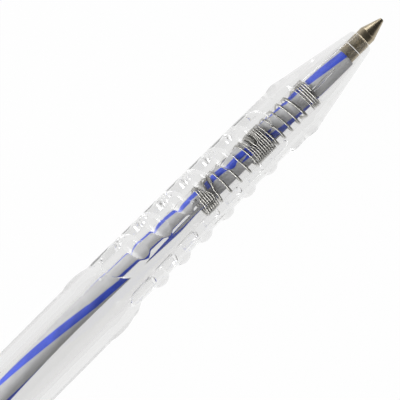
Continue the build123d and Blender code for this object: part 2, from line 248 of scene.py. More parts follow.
class TailSizes(bpy.types.PropertyGroup):
    """Sizes and colours of the cap, the clip, the button and the cam."""

    cap_edge: size("Cap edge", 0.8, "Rounding of the cap's rear edge")
    shaft_hole: size("Shaft hole", 5.4, "Hole for the button")
    spigot_diameter: size("Cap spigot", 7.0, "Across the part of the cap inside the barrel")
    clip_width: size("Clip width", 4.2, "Width of the clip")
    clip_thickness: size("Clip thickness", 1.4, "Thickness of the clip's arm")
    clip_gap: size("Clip gap", 1.5, "From the barrel to the clip")
    clip_corner: size("Clip corner", 1.1, "Rounding of the clip's outer corners")
    clip_edge: size("Clip edge", 0.4, "Rounding of the clip's long edges")
    bead_radius: size("Bead radius", 1.6, "Radius of the bead under the clip's tip")
    bead_setback: size("Bead setback", 2.4, "From the clip's tip to its bead")
    bead_gap: size("Bead gap", 0.1, "From the barrel to the bead")
    bridge_length: size("Bridge length", 4.5, "Length of the bridge from the clip to the cap")
    bridge_gap: size("Bridge gap", 0.25, "From the cap to the bridge")
    pivot_diameter: size("Pivot diameter", 1.4, "Across the snap bead in the cap")
    pivot_clearance: size("Pivot clearance", 0.08, "Room round the snap bead")
    neck: size("Neck", 0.9, "Thickness of the neck between bridge and snap bead")
    neck_clearance: size("Neck clearance", 0.25, "Room each side of the neck")
    blue: colour("Blue", (0.03, 0.06, 0.42), "Colour of the cap, clip and button")
    white: colour("White", (0.78, 0.78, 0.76), "Colour of the cam sleeve and rotor")


class StageSettings(bpy.types.PropertyGroup):
    """Camera, light and floor."""

    aim_station: size("Aim station", 37.0, "Station that the camera looks at")
    aim_offset: FloatProperty(
        name="Aim offset", description="Aim beside the pen's axis", default=0.24 * MM, unit="LENGTH"
    )
    lean: angle("Lean", 11.0, "Lean of the camera from overhead towards the tail")
    roll: angle("Roll", 45.15, "Turn of the pen in the picture")
    distance: size("Distance", 2500.0, "From the camera to its aim")
    field: size("Field", 56.4, "Width of the picture at the aim")
    floor_white: share("Floor white", 0.985, "Share of the floor's own white in the picture")
    # Painted shadow: the floor's glow, as seen through clear plastic, is dimmed to this in place of the
    # shade under the barrel
    painted_shadow_white: share("Shaded white", 0.875, "Brightness of that white through clear plastic")
    lamp_power: power("Lamp power", 0.75, "Power of the lamp")
    fill_power: power("Fill power", 0.34, "Power of the fill")
    left_sky: share("Left sky", 0.5, "Brightness of the wall on the pen's left")
    right_sky: share("Right sky", 0.15, "Brightness of the wall on the pen's right")
    rear_sky: brightness("Rear sky", 1.0, "Brightness added behind the tail")
    rear_window: brightness("Rear window", 4.5, "The same as mirrored by polished metal")
    wall_left: brightness("Wall left", 1.0, "Brightness through clear plastic on the pen's left")
    wall_right: brightness("Wall right", 0.86, "Brightness through clear plastic on the pen's right")
    ceiling: share("Ceiling", 0.06, "Share of that brightness overhead")


# Mesh helpers


def draw(corners):
    """Closed wire of named (station, radius) corners, and their places by name."""
    bm = bmesh.new()
    places = {name: Vector((x, 0.0, r)) for name, (x, r) in corners.items()}
    points = [bm.verts.new(place) for place in places.values()]
    for first, second in zip(points, points[1:] + points[:1]):
        bm.edges.new((first, second))
    return bm, places


def point_at(bm, place):
    """The point of a mesh that lies at a place."""
    return min(bm.verts, key=lambda point: (point.co - place).length_squared)


def divide(bm, first, second, cuts):
    """New points along the edge between two places of a wire, from the first on."""
    edge = bm.edges.get((point_at(bm, first), point_at(bm, second)))
    made = bmesh.ops.subdivide_edges(bm, edges=[edge], cuts=cuts)["geom_inner"]
    inner = [point for point in made if isinstance(point, bmesh.types.BMVert)]
    return sorted(inner, key=lambda point: (point.co - first).length)


def swell(bm, first, second, crest_share, crest_radius, cuts):
    """Bends the edge between two places out to a crest, as a parabola."""
    rise = crest_radius - (first.z + crest_share * (second.z - first.z))
    steepness = rise / (crest_share * (1 - crest_share))
    for i, point in enumerate(divide(bm, first, second, cuts)):
        place = (i + 1) / (cuts + 1)
        point.co.z += steepness * place * (1 - place)


def soften(bm, place, offset, segments=EDGE_STEPS):
    """Rounds the corner of a wire at a place."""
    point = point_at(bm, place)
    bmesh.ops.bevel(
        bm, geom=[point], offset=offset, segments=segments, profile=0.5, affect="VERTICES", material=-1
    )


def turn(bm, steps):
    """Turns a wire round the pen's axis to a closed surface."""
    bmesh.ops.spin(
        bm,
        geom=bm.verts[:] + bm.edges[:],
        cent=(0.0, 0.0, 0.0),
        axis=(1.0, 0.0, 0.0),
        angle=2 * math.pi,
        steps=steps,
        use_merge=True,
    )
    bmesh.ops.remove_doubles(bm, verts=bm.verts, dist=MERGE_DISTANCE)
    bmesh.ops.recalc_face_normals(bm, faces=bm.faces)


def arc(centre, radius, start_degrees, end_degrees, steps):
    """Points of an arc, both ends included."""
    step = (end_degrees - start_degrees) / steps
    turns = [math.radians(start_degrees + step * i) for i in range(steps + 1)]
    return [(centre[0] + radius * math.cos(t), centre[1] + radius * math.sin(t)) for t in turns]


def make_piece(name, bm, finish, slot, *nodes):
    """Seats a mesh in the packed frame, as the piece that stands for those nodes."""
    bmesh.ops.transform(bm, matrix=SEAT, verts=bm.verts)
    bmesh.ops.recalc_face_normals(bm, faces=bm.faces)
    mesh = bpy.data.meshes.new(name)
    bm.to_mesh(mesh)
    bm.free()
    mesh.shade_smooth()
    mesh.set_sharp_from_angle(angle=SHARP_ANGLE)
    mesh.materials.append(finish)
    piece = bpy.data.objects.new(name, mesh)
    bpy.context.scene.collection.objects.link(piece)
    flat = piece.modifiers.new("flat", "WEIGHTED_NORMAL")
    flat.keep_sharp = True
    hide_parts(*nodes)
    return piece


def finish_node(node, finish):
    """Gives a packed node a finish."""
    materials = frame["nodes"][node].data.materials
    materials.clear()
    materials.append(finish)


def smooth_min(a, b, softness):
    """The smaller of two lengths, rounded where they meet."""
    near = max(softness - abs(a - b), 0.0) / softness
    return min(a, b) - near * near * softness / 4


def smooth_step(low, high, value):
    """Eased rise from 0 at low to 1 at high."""
    t = min(max((value - low) / (high - low), 0.0), 1.0)
    return t * t * (3 - 2 * t)


# Finishes


def new_finish(name):
    """Empty finish with its node tree and shader."""
    material = bpy.data.materials.new(name)
    material.use_nodes = True
    return material, material.node_tree, material.node_tree.nodes["Principled BSDF"]


def grain(tree, scale, stretch=(1.0, 1.0, 1.0), detail=3.0):
    """Noise on the piece's own coordinates, with so many lumps to a metre."""
    place = tree.nodes.new("ShaderNodeTexCoord")
    mapping = tree.nodes.new("ShaderNodeMapping")
    mapping.inputs["Scale"].default_value = stretch
    noise = tree.nodes.new("ShaderNodeTexNoise")
    noise.inputs["Scale"].default_value = scale
    noise.inputs["Detail"].default_value = detail
    tree.links.new(place.outputs["Object"], mapping.inputs["Vector"])
    tree.links.new(mapping.outputs["Vector"], noise.inputs["Vector"])
    return noise.outputs["Fac"]


def spread(tree, source, low, high, source_low=0.0, source_high=1.0):
    """A value from low to high as the source rises through its range."""
    span = tree.nodes.new("ShaderNodeMapRange")
    span.inputs["From Min"].default_value = source_low
    span.inputs["From Max"].default_value = source_high
    span.inputs["To Min"].default_value = low
    span.inputs["To Max"].default_value = high
    tree.links.new(source, span.inputs["Value"])
    return span.outputs["Result"]


def ray(tree, kind):
    """What the light path says on one kind of ray."""
    return tree.nodes.new("ShaderNodeLightPath").outputs[kind]


def combine(tree, operation, first, second, clamp=False):
    """Math on two sources, of which the second may be a number."""
    node = tree.nodes.new("ShaderNodeMath")
    node.operation = operation
    node.use_clamp = clamp
    tree.links.new(first, node.inputs[0])
    if isinstance(second, float):
        node.inputs[1].default_value = second
    else:
        tree.links.new(second, node.inputs[1])
    return node.outputs["Value"]


def mix_shaders(tree, factor, first, second):
    """A shader that goes from the first to the second as the factor rises."""
    mix = tree.nodes.new("ShaderNodeMixShader")
    for source, socket in zip((factor, first, second), mix.inputs):
        tree.links.new(source, socket)
    return mix.outputs["Shader"]


def blend_colours(tree, source, stops):
    """A colour that runs through stops of (place, colour) as the source rises."""
    ramp = tree.nodes.new("ShaderNodeValToRGB")
    band = ramp.color_ramp
    while len(band.elements) < len(stops):
        band.elements.new(1.0)
    for element, (place, rgb) in zip(band.elements, stops):
        element.position = place
        element.color = (*rgb, 1.0)
    tree.links.new(source, ramp.inputs["Fac"])
    return ramp.outputs["Color"]


def relief(tree, shader, source, depth):
    """Bumps of that depth in metres."""
    bump = tree.nodes.new("ShaderNodeBump")
    bump.inputs["Strength"].default_value = 1.0
    bump.inputs["Distance"].default_value = depth
    tree.links.new(source, bump.inputs["Height"])
    tree.links.new(bump.outputs["Normal"], shader.inputs["Normal"])


def shade(rgb, factor):
    """A colour made darker or lighter."""
    return tuple(min(channel * factor, 1.0) for channel in rgb)


def mottled(tree, source, band, rgb, tones):
    """A colour that runs from its dark to its light tone as the source rises through a band."""
    return blend_colours(tree, source, [(place, shade(rgb, tone)) for place, tone in zip(band, tones)])


def uneven(tree, source, roughness, shares):
    """A roughness that runs from its low to its high share as the source rises."""
    low, high = shares
    return spread(tree, source, roughness * low, roughness * high)


# A scale is in lumps to a metre, and a stretch under 1 draws the lumps out along that axis. A mottle runs
# through a band of the noise, from one tone of its colour to the other.
WIDE_BAND = (0.3, 0.7)
NARROW_BAND = (0.35, 0.65)

CLEAR_IOR = 1.53
CLEAR_DENSITY = 15.0
FLOW_SCALE = 700.0
FLOW_STRETCH = (0.12, 1.0, 1.0)
FLOW_ROUGHNESS = 0.03
FLOW_DEPTH = 0.0002 * MM

# Light that is mirrored more often than this inside the clear plastic goes straight on out
TRAPPED_DEPTH = 2.5


def clear_plastic(sizes):
    """Polished clear moulding with faint flow lines along the pen."""
    material, tree, shader = new_finish("clear_plastic")
    shader.inputs["Base Color"].default_value = (*sizes.tint, 1.0)
    shader.inputs["Transmission Weight"].default_value = 1.0
    shader.inputs["IOR"].default_value = CLEAR_IOR
    flow = grain(tree, FLOW_SCALE, stretch=FLOW_STRETCH)
    tree.links.new(spread(tree, flow, 0.0, FLOW_ROUGHNESS), shader.inputs["Roughness"])
    relief(tree, shader, flow, FLOW_DEPTH)
    depth = tree.nodes.new("ShaderNodeVolumeAbsorption")
    depth.inputs["Color"].default_value = (*sizes.depth_tint, 1.0)
    depth.inputs["Density"].default_value = CLEAR_DENSITY
    output = tree.nodes["Material Output"]
    tree.links.new(depth.outputs["Volume"], output.inputs["Volume"])
    trapped = combine(tree, "GREATER_THAN", ray(tree, "Glossy Depth"), TRAPPED_DEPTH)
    way_out = tree.nodes.new("ShaderNodeBsdfTransparent")
    surface = mix_shaders(tree, trapped, shader.outputs["BSDF"], way_out.outputs["BSDF"])
    tree.links.new(surface, output.inputs["Surface"])
    return material


STREAK_SCALE = 6000.0
STREAK_STRETCH = (2.0, 0.4, 0.4)
STREAK_TONES = (0.75, 1.1)
STREAK_ROUGHNESS = (0.06, 0.2)


def spring_steel(sizes):
    """Drawn wire with fine streaks."""
    material, tree, shader = new_finish("spring_steel")
    shader.inputs["Metallic"].default_value = 1.0
    streaks = grain(tree, STREAK_SCALE, stretch=STREAK_STRETCH)
    tones = mottled(tree, streaks, WIDE_BAND, sizes.steel, STREAK_TONES)
    tree.links.new(tones, shader.inputs["Base Color"])
    tree.links.new(spread(tree, streaks, *STREAK_ROUGHNESS), shader.inputs["Roughness"])
    return material


TUBE_GRAIN_SCALE = 1500.0
TUBE_GRAIN_STRETCH = (0.3, 1.0, 1.0)
TUBE_GRAIN_DEPTH = 0.004 * MM
TUBE_TONES = (0.94, 1.04)
STRIPE_TONES = (0.85, 1.1)
TUBE_ROUGHNESS = (0.45, 0.6)
TUBE_SPECULAR = 0.3
STRIPE_SOFTNESS = 0.04


def striped_plastic(sizes):
    """Satin tube with soft-edged stripes, which the mesh carries as an attribute."""
    material, tree, shader = new_finish("striped_plastic")
    stripe = tree.nodes.new("ShaderNodeAttribute")
    stripe.attribute_name = STRIPE_ATTRIBUTE
    edge = (math.cos(STRIPE_COUNT * sizes.stripe_width / 2) + 1) / 2
    mottle = grain(tree, TUBE_GRAIN_SCALE, stretch=TUBE_GRAIN_STRETCH)
    stops = [(edge - STRIPE_SOFTNESS, (0.0, 0.0, 0.0)), (edge + STRIPE_SOFTNESS, (1.0, 1.0, 1.0))]
    mix = tree.nodes.new("ShaderNodeMix")
    mix.data_type = "RGBA"
    tree.links.new(blend_colours(tree, stripe.outputs["Fac"], stops), mix.inputs["Factor"])
    tree.links.new(mottled(tree, mottle, NARROW_BAND, sizes.plastic, TUBE_TONES), mix.inputs["A"])
    tree.links.new(mottled(tree, mottle, NARROW_BAND, sizes.stripe, STRIPE_TONES), mix.inputs["B"])
    tree.links.new(mix.outputs["Result"], shader.inputs["Base Color"])
    tree.links.new(spread(tree, mottle, *TUBE_ROUGHNESS), shader.inputs["Roughness"])
    shader.inputs["Specular IOR Level"].default_value = TUBE_SPECULAR
    relief(tree, shader, mottle, TUBE_GRAIN_DEPTH)
    return material


RING_SCALE = 9000.0
RING_STRETCH = (1.0, 0.02, 0.02)
RING_DETAIL = 2.0
RING_DEPTH = 0.0002 * MM
RING_SHARES = (0.8, 1.3)
TARNISH_SCALE = 900.0
TARNISH_TONES = (0.82, 1.08)


def turned_metal(name, rgb, roughness):
    """Metal with the fine rings that a lathe leaves."""
    material, tree, shader = new_finish(name)
    shader.inputs["Metallic"].default_value = 1.0
    rings = grain(tree, RING_SCALE, stretch=RING_STRETCH, detail=RING_DETAIL)
    tarnish = grain(tree, TARNISH_SCALE)
    tree.links.new(mottled(tree, tarnish, WIDE_BAND, rgb, TARNISH_TONES), shader.inputs["Base Color"])
    tree.links.new(uneven(tree, rings, roughness, RING_SHARES), shader.inputs["Roughness"])
    relief(tree, shader, rings, RING_DEPTH)
    return material


MOTTLE_SCALE = 400.0
MOTTLE_TONES = (0.9, 1.08)
SKIN_SCALE = 5000.0
SKIN_DEPTH = 0.003 * MM
SKIN_SHARES = (0.85, 1.2)


def moulded_plastic(name, rgb, roughness):
    """Opaque moulding with a faint mottle and a fine skin."""
    material, tree, shader = new_finish(name)
    mottle = grain(tree, MOTTLE_SCALE)
    skin = grain(tree, SKIN_SCALE)
    tree.links.new(mottled(tree, mottle, WIDE_BAND, rgb, MOTTLE_TONES), shader.inputs["Base Color"])
    tree.links.new(uneven(tree, skin, roughness, SKIN_SHARES), shader.inputs["Roughness"])
    relief(tree, shader, skin, SKIN_DEPTH)
    return material


# Barrel

GRIP_CUTS = 270
SWELL_CUTS = 14
SHOULDER_CREST_SHARE = 0.58
RING_CREST_SHARE = 0.62
SPRING_SEAT_DEPTH = 10.8 * MM
FLARE_GAP = 3.2 * MM
FLARE_LENGTH = 16.0 * MM
BUMP_RELIEF = 0.03 * MM
BORE_EDGE = 0.12 * MM
GUIDE_EDGE = 0.05 * MM
TAIL_EDGE = 0.2 * MM
NOSE_EDGE_STEPS = 6

# Behind the guide the bore steps out to a small ledge, then tapers out to the nose bore
GUIDE_LENGTH = 2.05 * MM
GUIDE_STEP = 0.12 * MM
GUIDE_LEDGE = 0.12 * MM
GUIDE_TAPER = 1.5 * MM


def barrel_wire(sizes):
    """Wall of the barrel: the outside from the nose to the tail, then the stepped bore back."""
    front, tail = stations("barrel")
    sleeve_front, _ = stations("cam_sleeve")
    nose_rear = front + sizes.nose_length
    grip_front = nose_rear + sizes.shoulder_length
    grip_rear = grip_front + sizes.grip_length
    ring_rear = grip_rear + sizes.ring_length
    spring_seat = front + SPRING_SEAT_DEPTH
    flare_front = stations("return_spring")[1] + FLARE_GAP
    bm, corner = draw(
        {
            "nose_front": (front, sizes.nose_front_diameter / 2),
            "nose_rear": (nose_rear, sizes.nose_rear_diameter / 2),
            "grip_front": (grip_front, sizes.grip_front_diameter / 2),
            "grip_rear": (grip_rear, sizes.grip_rear_diameter / 2),
            "ring_rear": (ring_rear, sizes.diameter / 2),
            "tail": (tail, sizes.diameter / 2),
            "tail_bore": (tail, sizes.sleeve_bore / 2),
            "sleeve_seat": (sleeve_front, sizes.sleeve_bore / 2),
            "bore_rear": (sleeve_front, sizes.bore / 2),
            "flare_rear": (flare_front + FLARE_LENGTH, sizes.bore / 2),
            "flare_front": (flare_front, sizes.spring_bore / 2),
            "spring_seat": (spring_seat, sizes.spring_bore / 2),
            "seat_edge": (spring_seat, sizes.nose_bore / 2),
            "rib_front": (spring_seat - sizes.rib_length, sizes.nose_bore / 2),
            "rib_foot": (spring_seat - sizes.rib_length - sizes.rib_height, sizes.nose_bore / 2),
            "nose_step": (front + GUIDE_LENGTH + GUIDE_TAPER, sizes.nose_bore / 2),
            "guide_step": (front + GUIDE_LENGTH + GUIDE_STEP, sizes.guide_bore / 2 + GUIDE_LEDGE),
            "guide_rear": (front + GUIDE_LENGTH, sizes.guide_bore / 2),
            "guide_front": (front, sizes.guide_bore / 2),
        }
    )
    for first, second, crest_share, diameter in (
        ("nose_rear", "grip_front", SHOULDER_CREST_SHARE, sizes.shoulder_diameter),
        ("grip_rear", "ring_rear", RING_CREST_SHARE, sizes.ring_diameter),
    ):
        swell(bm, corner[first], corner[second], crest_share, diameter / 2, SWELL_CUTS)
    divide(bm, corner["grip_front"], corner["grip_rear"], GRIP_CUTS)
    soften(bm, corner["nose_front"], sizes.nose_edge, NOSE_EDGE_STEPS)
    for name in ("tail", "tail_bore"):
        soften(bm, corner[name], TAIL_EDGE)
    for name in ("seat_edge", "guide_front"):
        soften(bm, corner[name], BORE_EDGE, SMALL_EDGE_STEPS)
    soften(bm, corner["guide_rear"], GUIDE_EDGE, SMALL_EDGE_STEPS)
    return bm, grip_front


def pad_radius(sizes, grip_front, station, turn_from_pad, grip_radius):
    """Radius of the grip with its pads and bumps, at a station and a turn from the nearest pad."""
    along = station - grip_front - sizes.pad_start - sizes.pad_length / 2
    across = grip_radius * math.sin(turn_from_pad)
    end_reach = max(abs(along) - (sizes.pad_length - sizes.pad_width) / 2, 0.0)
    beyond = math.hypot(end_reach, across) - sizes.pad_width / 2
    if beyond >= sizes.pad_edge:
        return grip_radius
    height_share = along / sizes.pad_length + 0.5
    height = sizes.pad_front_height + height_share * (sizes.pad_rear_height - sizes.pad_front_height)
    crown_centre = height - sizes.pad_crown
    sag = sizes.pad_crown**2 - (crown_centre * math.sin(turn_from_pad)) ** 2
    floor = crown_centre * math.cos(turn_from_pad) + math.sqrt(sag)
    step = (along + sizes.bump_lead) / sizes.bump_pitch + (sizes.bump_count - 1) / 2
    nearest = min(max(round(step), 0), sizes.bump_count - 1)
    from_crest = (step - nearest) * sizes.bump_pitch
    pad = floor
    if abs(from_crest) < sizes.bump_radius:
        drop = sizes.bump_radius - math.sqrt(sizes.bump_radius**2 - from_crest**2)
        pad = -smooth_min(-floor, drop + BUMP_RELIEF - grip_radius, sizes.pad_edge)
    pad = smooth_min(pad, grip_radius, sizes.pad_edge)
    return pad + (grip_radius - pad) * smooth_step(-2 * sizes.pad_edge, sizes.pad_edge, beyond)


def press_pads(bm, sizes, grip_front):
    """Moves the grip's points in to make the pads."""
    pad_spacing = 2 * math.pi / sizes.pad_count
    for point in bm.verts:
        station, y, z = point.co
        radius = math.hypot(y, z)
        if not (grip_front < station < grip_front + sizes.grip_length and radius > sizes.pad_front_height):
            continue
        turned = math.atan2(-y, z) - sizes.pad_turn
        turn_from_pad = (turned + pad_spacing / 2) % pad_spacing - pad_spacing / 2
        factor = pad_radius(sizes, grip_front, station, turn_from_pad, radius) / radius
        point.co = (station, y * factor, z * factor)


def raise_ribs(bm, sizes):
    """Moves the nose bore's points in to make the ribs that guide the refill."""
    seat = stations("barrel")[0] + SPRING_SEAT_DEPTH
    rib_spacing = 2 * math.pi / sizes.rib_count
    for point in bm.verts:
        station, y, z = point.co
        radius = math.hypot(y, z)
        behind_foot = station - seat + sizes.rib_length + sizes.rib_height / 2
        on_ribs = behind_foot > 0.0 and station < seat + MERGE_DISTANCE
        if not (on_ribs and radius < sizes.spring_bore / 2 - BORE_EDGE):
            continue
        turned = math.atan2(-y, z) - sizes.rib_turn
        from_rib = (turned + rib_spacing / 2) % rib_spacing - rib_spacing / 2
        raised = smooth_step(sizes.rib_width / 2, sizes.rib_width / 4, radius * abs(from_rib))
        factor = 1 - sizes.rib_height * raised / radius
        point.co = (station, y * factor, z * factor)


class PEN_OT_barrel(bpy.types.Operator):
    """Model the clear barrel with its grip pads and stepped bore"""

    bl_idname = "pen.barrel"
    bl_label = "Barrel"

    def execute(self, context):
        sizes = context.scene.pen_barrel
        bm, grip_front = barrel_wire(sizes)
        turn(bm, BARREL_STEPS)
        press_pads(bm, sizes, grip_front)
        raise_ribs(bm, sizes)
        piece = make_piece("clear_barrel", bm, clear_plastic(sizes), "clear_plastic", "barrel")
        # Light reaches what lies in and under the clear barrel as if it were not there
        piece.visible_shadow = False
        piece.visible_diffuse = False
        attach(piece, "barrel")
        return {"FINISHED"}


# Spring

WIRE_SIDES = 12
QUARTER_STEPS = 10
EASE_PASSES = 5

# The tilt of the rear turns grows between these distances from the spring's rear
TILT_START = 7.0 * MM
TILT_END = 2.4 * MM


def quarter_pitches(sizes, length):
    """Rise of each quarter turn of the spring, eased where tight turns meet open ones."""
    tight = (
        sizes.front_turns * sizes.front_pitch
        + sizes.middle_turns * sizes.middle_pitch
        + sizes.rear_turns * sizes.rear_pitch
    )
    open_length = length - sizes.wire - tight
    front_open = sizes.front_open_share * open_length / sizes.front_open_turns
    rear_open = (1 - sizes.front_open_share) * open_length / sizes.rear_open_turns
    groups = (
        sizes.front_turns,
        sizes.front_open_turns,
        sizes.middle_turns,
        sizes.rear_open_turns,
        sizes.rear_turns,
    )
    pitches = (sizes.front_pitch, front_open, sizes.middle_pitch, rear_open, sizes.rear_pitch)
    rises = [pitch / 4 for turns, pitch in zip(groups, pitches) for _ in range(4 * turns)]
    eased = rises
    for _ in range(EASE_PASSES):
        padded = eased[:1] + eased + eased[-1:]
        eased = [(a + 2 * b + c) / 4 for a, b, c in zip(padded, padded[1:], padded[2:])]
    return [rise * sum(rises) / sum(eased) for rise in eased]


def wind_spring(sizes, front, rear):
    """Wire wound a quarter turn at a time, with its rear turns tilted."""
    bm = bmesh.new()
    made = bmesh.ops.create_circle(bm, cap_ends=True, segments=WIRE_SIDES, radius=sizes.wire / 2)
    ring = made["verts"]
    bmesh.ops.rotate(bm, verts=ring, cent=(0, 0, 0), matrix=Matrix.Rotation(math.pi / 2, 3, "X"))
    bmesh.ops.translate(bm, verts=ring, vec=(front + sizes.wire / 2, 0.0, sizes.coil_radius))
    end = ring + list({edge for point in ring for edge in point.link_edges})
    for rise in quarter_pitches(sizes, rear - front):
        made = bmesh.ops.spin(
            bm,
            geom=end,
            cent=(0.0, 0.0, 0.0),
            axis=(1.0, 0.0, 0.0),
            dvec=(rise / QUARTER_STEPS, 0.0, 0.0),
            angle=math.pi / 2,
            steps=QUARTER_STEPS,
        )
        end = made["geom_last"]
    bmesh.ops.edgeloop_fill(bm, edges=[e for e in end if isinstance(e, bmesh.types.BMEdge)])
    for point in bm.verts:
        tilted = smooth_step(rear - TILT_START, rear - TILT_END, point.co.x)
        point.co.x += math.tan(sizes.rear_tilt) * point.co.y * tilted
    return bm


class PEN_OT_return_spring(bpy.types.Operator):
    """Wind the return spring, tight at its ends and middle"""

    bl_idname = "pen.return_spring"
    bl_label = "Return spring"

    def execute(self, context):
        sizes = context.scene.pen_spring
        front, rear = stations("return_spring")
        bm = wind_spring(sizes, front, rear)
        piece = make_piece("wound_spring", bm, spring_steel(sizes), "spring_wire", "return_spring")
        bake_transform(piece)
        return {"FINISHED"}


# Refill

STRIPE_ATTRIBUTE = "stripe"
STRIPE_COUNT = 3
TUBE_PITCH = 0.4 * MM
TUBE_EDGE = 0.08 * MM
TUBE_EDGE_STEPS = 2
EAR_GAP = 0.05 * MM
INK_ROUGHNESS = 0.2

# Steps along the outside of the tube for each one along its bore
BORE_STEP_RATIO = 4

# Shares of an ear's half length and half thickness over which it keeps its full height
EAR_LENGTH_SHARE = 0.5
EAR_THICKNESS_SHARE = 0.4

# Turn of the first stripe from the top, as (station, degrees)
TWIST = [
    (0.0 * MM, -38.0),
    (5.7 * MM, 0.0),
    (14.4 * MM, 42.0),
    (21.1 * MM, 72.0),
    (28.3 * MM, 115.0),
    (37.6 * MM, 155.0),
    (50.0 * MM, 190.0),
    (56.7 * MM, 205.0),
    (64.9 * MM, 240.0),
    (74.6 * MM, 284.0),
    (100.8 * MM, 402.0),
    (110.0 * MM, 444.0),
]

# How far the tube bows to the side of the barrel, as (station, offset)
BOW = [
    (0.0 * MM, 0.0 * MM),
    (7.6 * MM, 0.0 * MM),
    (15.0 * MM, 0.05 * MM),
    (26.0 * MM, 0.2 * MM),
    (37.7 * MM, 0.33 * MM),
    (43.2 * MM, 0.55 * MM),
    (50.6 * MM, 0.86 * MM),
    (64.0 * MM, 1.12 * MM),
    (77.0 * MM, 0.8 * MM),
    (90.0 * MM, 0.1 * MM),
    (100.8 * MM, 0.0 * MM),
    (110.0 * MM, 0.0 * MM),
]


def along_line(line, station):
    """Value at a station on a smooth line through (station, value) places."""
    last = len(line) - 3
    i = next(k for k in range(1, last + 1) if station <= line[k + 1][0] or k == last)
    (x0, y0), (x1, y1), (x2, y2), (x3, y3) = line[i - 1 : i + 3]
    t = (station - x1) / (x2 - x1)
    slope_1 = (y2 - y0) / (x2 - x0) * (x2 - x1)
    slope_2 = (y3 - y1) / (x3 - x1) * (x2 - x1)
    rise = y2 - y1
    return y1 + t * (slope_1 + t * (3 * rise - 2 * slope_1 - slope_2 + t * (slope_1 + slope_2 - 2 * rise)))


def tube_wire(sizes):
    """Wall of the tube, in short steps."""
    front, rear = stations("refill_tube")
    bm, corner = draw(
        {
            "front": (front, sizes.diameter / 2),
            "rear": (rear, sizes.diameter / 2),
            "rear_bore": (rear, sizes.bore / 2),
            "front_bore": (front, sizes.bore / 2),
        }
    )
    cuts = round((rear - front) / TUBE_PITCH)
    divide(bm, corner["front"], corner["rear"], cuts)
    divide(bm, corner["rear_bore"], corner["front_bore"], cuts // BORE_STEP_RATIO)
    for place in corner.values():
        soften(bm, place, TUBE_EDGE, TUBE_EDGE_STEPS)
    return bm


def shape_tube(bm, sizes):
    """Gives the turned tube its stripes, ears, pinch and bow."""
    stripe = bm.verts.layers.float.new(STRIPE_ATTRIBUTE)
    ear_middle = stations("return_spring")[1] + EAR_GAP + sizes.ear_length / 2
    for point in bm.verts:
        station, y, z = point.co
        turned = math.atan2(-y, z)
        twist = math.radians(along_line(TWIST, station))
        point[stripe] = (math.cos(STRIPE_COUNT * (turned - twist)) + 1) / 2
        if math.hypot(y, z) > (sizes.bore + sizes.diameter) / 4:
            along = 2 * abs(station - ear_middle) / sizes.ear_length
            across = 2 * abs(y) / sizes.ear_thickness
            raised = smooth_step(1.0, EAR_LENGTH_SHARE, along)
            raised *= smooth_step(1.0, EAR_THICKNESS_SHARE, across)
            z += math.copysign((sizes.ear_span - sizes.diameter) / 2 * raised, z)
        y *= 1 - sizes.pinch * smooth_step(sizes.pinch_reach, 0.0, abs(station - ear_middle))
        point.co = (station, y - along_line(BOW, station), z)


class PEN_OT_refill(bpy.types.Operator):
    """Model the striped refill tube with its ears, and finish the ink"""

    bl_idname = "pen.refill"
    bl_label = "Refill"

    def execute(self, context):
        sizes = context.scene.pen_refill
        bm = tube_wire(sizes)
        turn(bm, TURNED_STEPS)
        shape_tube(bm, sizes)
        piece = make_piece("striped_tube", bm, striped_plastic(sizes), "refill_plastic", "refill_tube")
        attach(piece, "refill")
        finish_node("ink_column", moulded_plastic("ink_paste", sizes.ink, INK_ROUGHNESS))
        return {"FINISHED"}


# Point

POINT_EDGE = 0.05 * MM
POINT_ROUGHNESS = 0.33
BALL_ROUGHNESS = 0.12


def point_wire(sizes):
    """Wall of the point: the lip, the cone and the spigot, then the channel back to the ball."""
    front, rear = stations("point_socket")
    tube_front, _ = stations("refill_tube")
    ball_front, ball_rear = stations("writing_ball")
    ball_radius = (ball_rear - ball_front) / 2
    cone_rear = front + sizes.cone_length
    lip_front = front - sizes.lip_reach
    lip_radius = math.sqrt(ball_radius**2 - (ball_radius - lip_front) ** 2) + sizes.lip_gap
    radius = sizes.diameter / 2
    feed_rear = ball_radius + sizes.feed_length
    groove = sizes.groove
    bm, corner = draw(
        {
            "lip_inside": (lip_front, lip_radius),
            "lip": (lip_front, lip_radius + sizes.lip),
            "cone_rear": (cone_rear, radius),
            "groove_front": (cone_rear + groove, radius),
            "groove": (cone_rear + 2 * groove, radius - groove),
            "groove_rear": (cone_rear + 3 * groove, radius),
            "shoulder": (tube_front, radius),
            "spigot_front": (tube_front, sizes.spigot_diameter / 2),
            "spigot_rear": (rear, sizes.spigot_diameter / 2),
            "channel_rear": (rear, sizes.channel / 2),
            "channel_front": (feed_rear, sizes.channel / 2),
            "feed_rear": (feed_rear, sizes.feed / 2),
            "feed_front": (2 * ball_radius, sizes.feed / 2),
            "seat": (ball_radius, ball_radius + sizes.lip_gap),
        }
    )
    soften(bm, corner["lip"], sizes.lip / 2, SMALL_EDGE_STEPS)
    for name in ("cone_rear", "shoulder"):
        soften(bm, corner[name], POINT_EDGE, SMALL_EDGE_STEPS)
    return bm


class PEN_OT_point(bpy.types.Operator):
    """Turn the metal point and finish its ball"""

    bl_idname = "pen.point"
    bl_label = "Point"

    def execute(self, context):
        sizes = context.scene.pen_point
        bm = point_wire(sizes)
        turn(bm, TURNED_STEPS)
        metal = turned_metal("nickel_silver", sizes.metal, POINT_ROUGHNESS)
        piece = make_piece("turned_point", bm, metal, "point_metal", "point_socket")
        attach(piece, "refill")
        finish_node("writing_ball", turned_metal("carbide", sizes.ball, BALL_ROUGHNESS))
        return {"FINISHED"}


# Tail

CAP_SPIGOT_EDGE = 0.15 * MM
CAP_MOUTH_EDGE = 0.3 * MM
CAP_EDGE_STEPS = 8
CLIP_EDGE_STEPS = 5
ARC_STEPS = 10
BLUE_ROUGHNESS = 0.22
BUTTON_ROUGHNESS = 0.2
WHITE_ROUGHNESS = 0.38


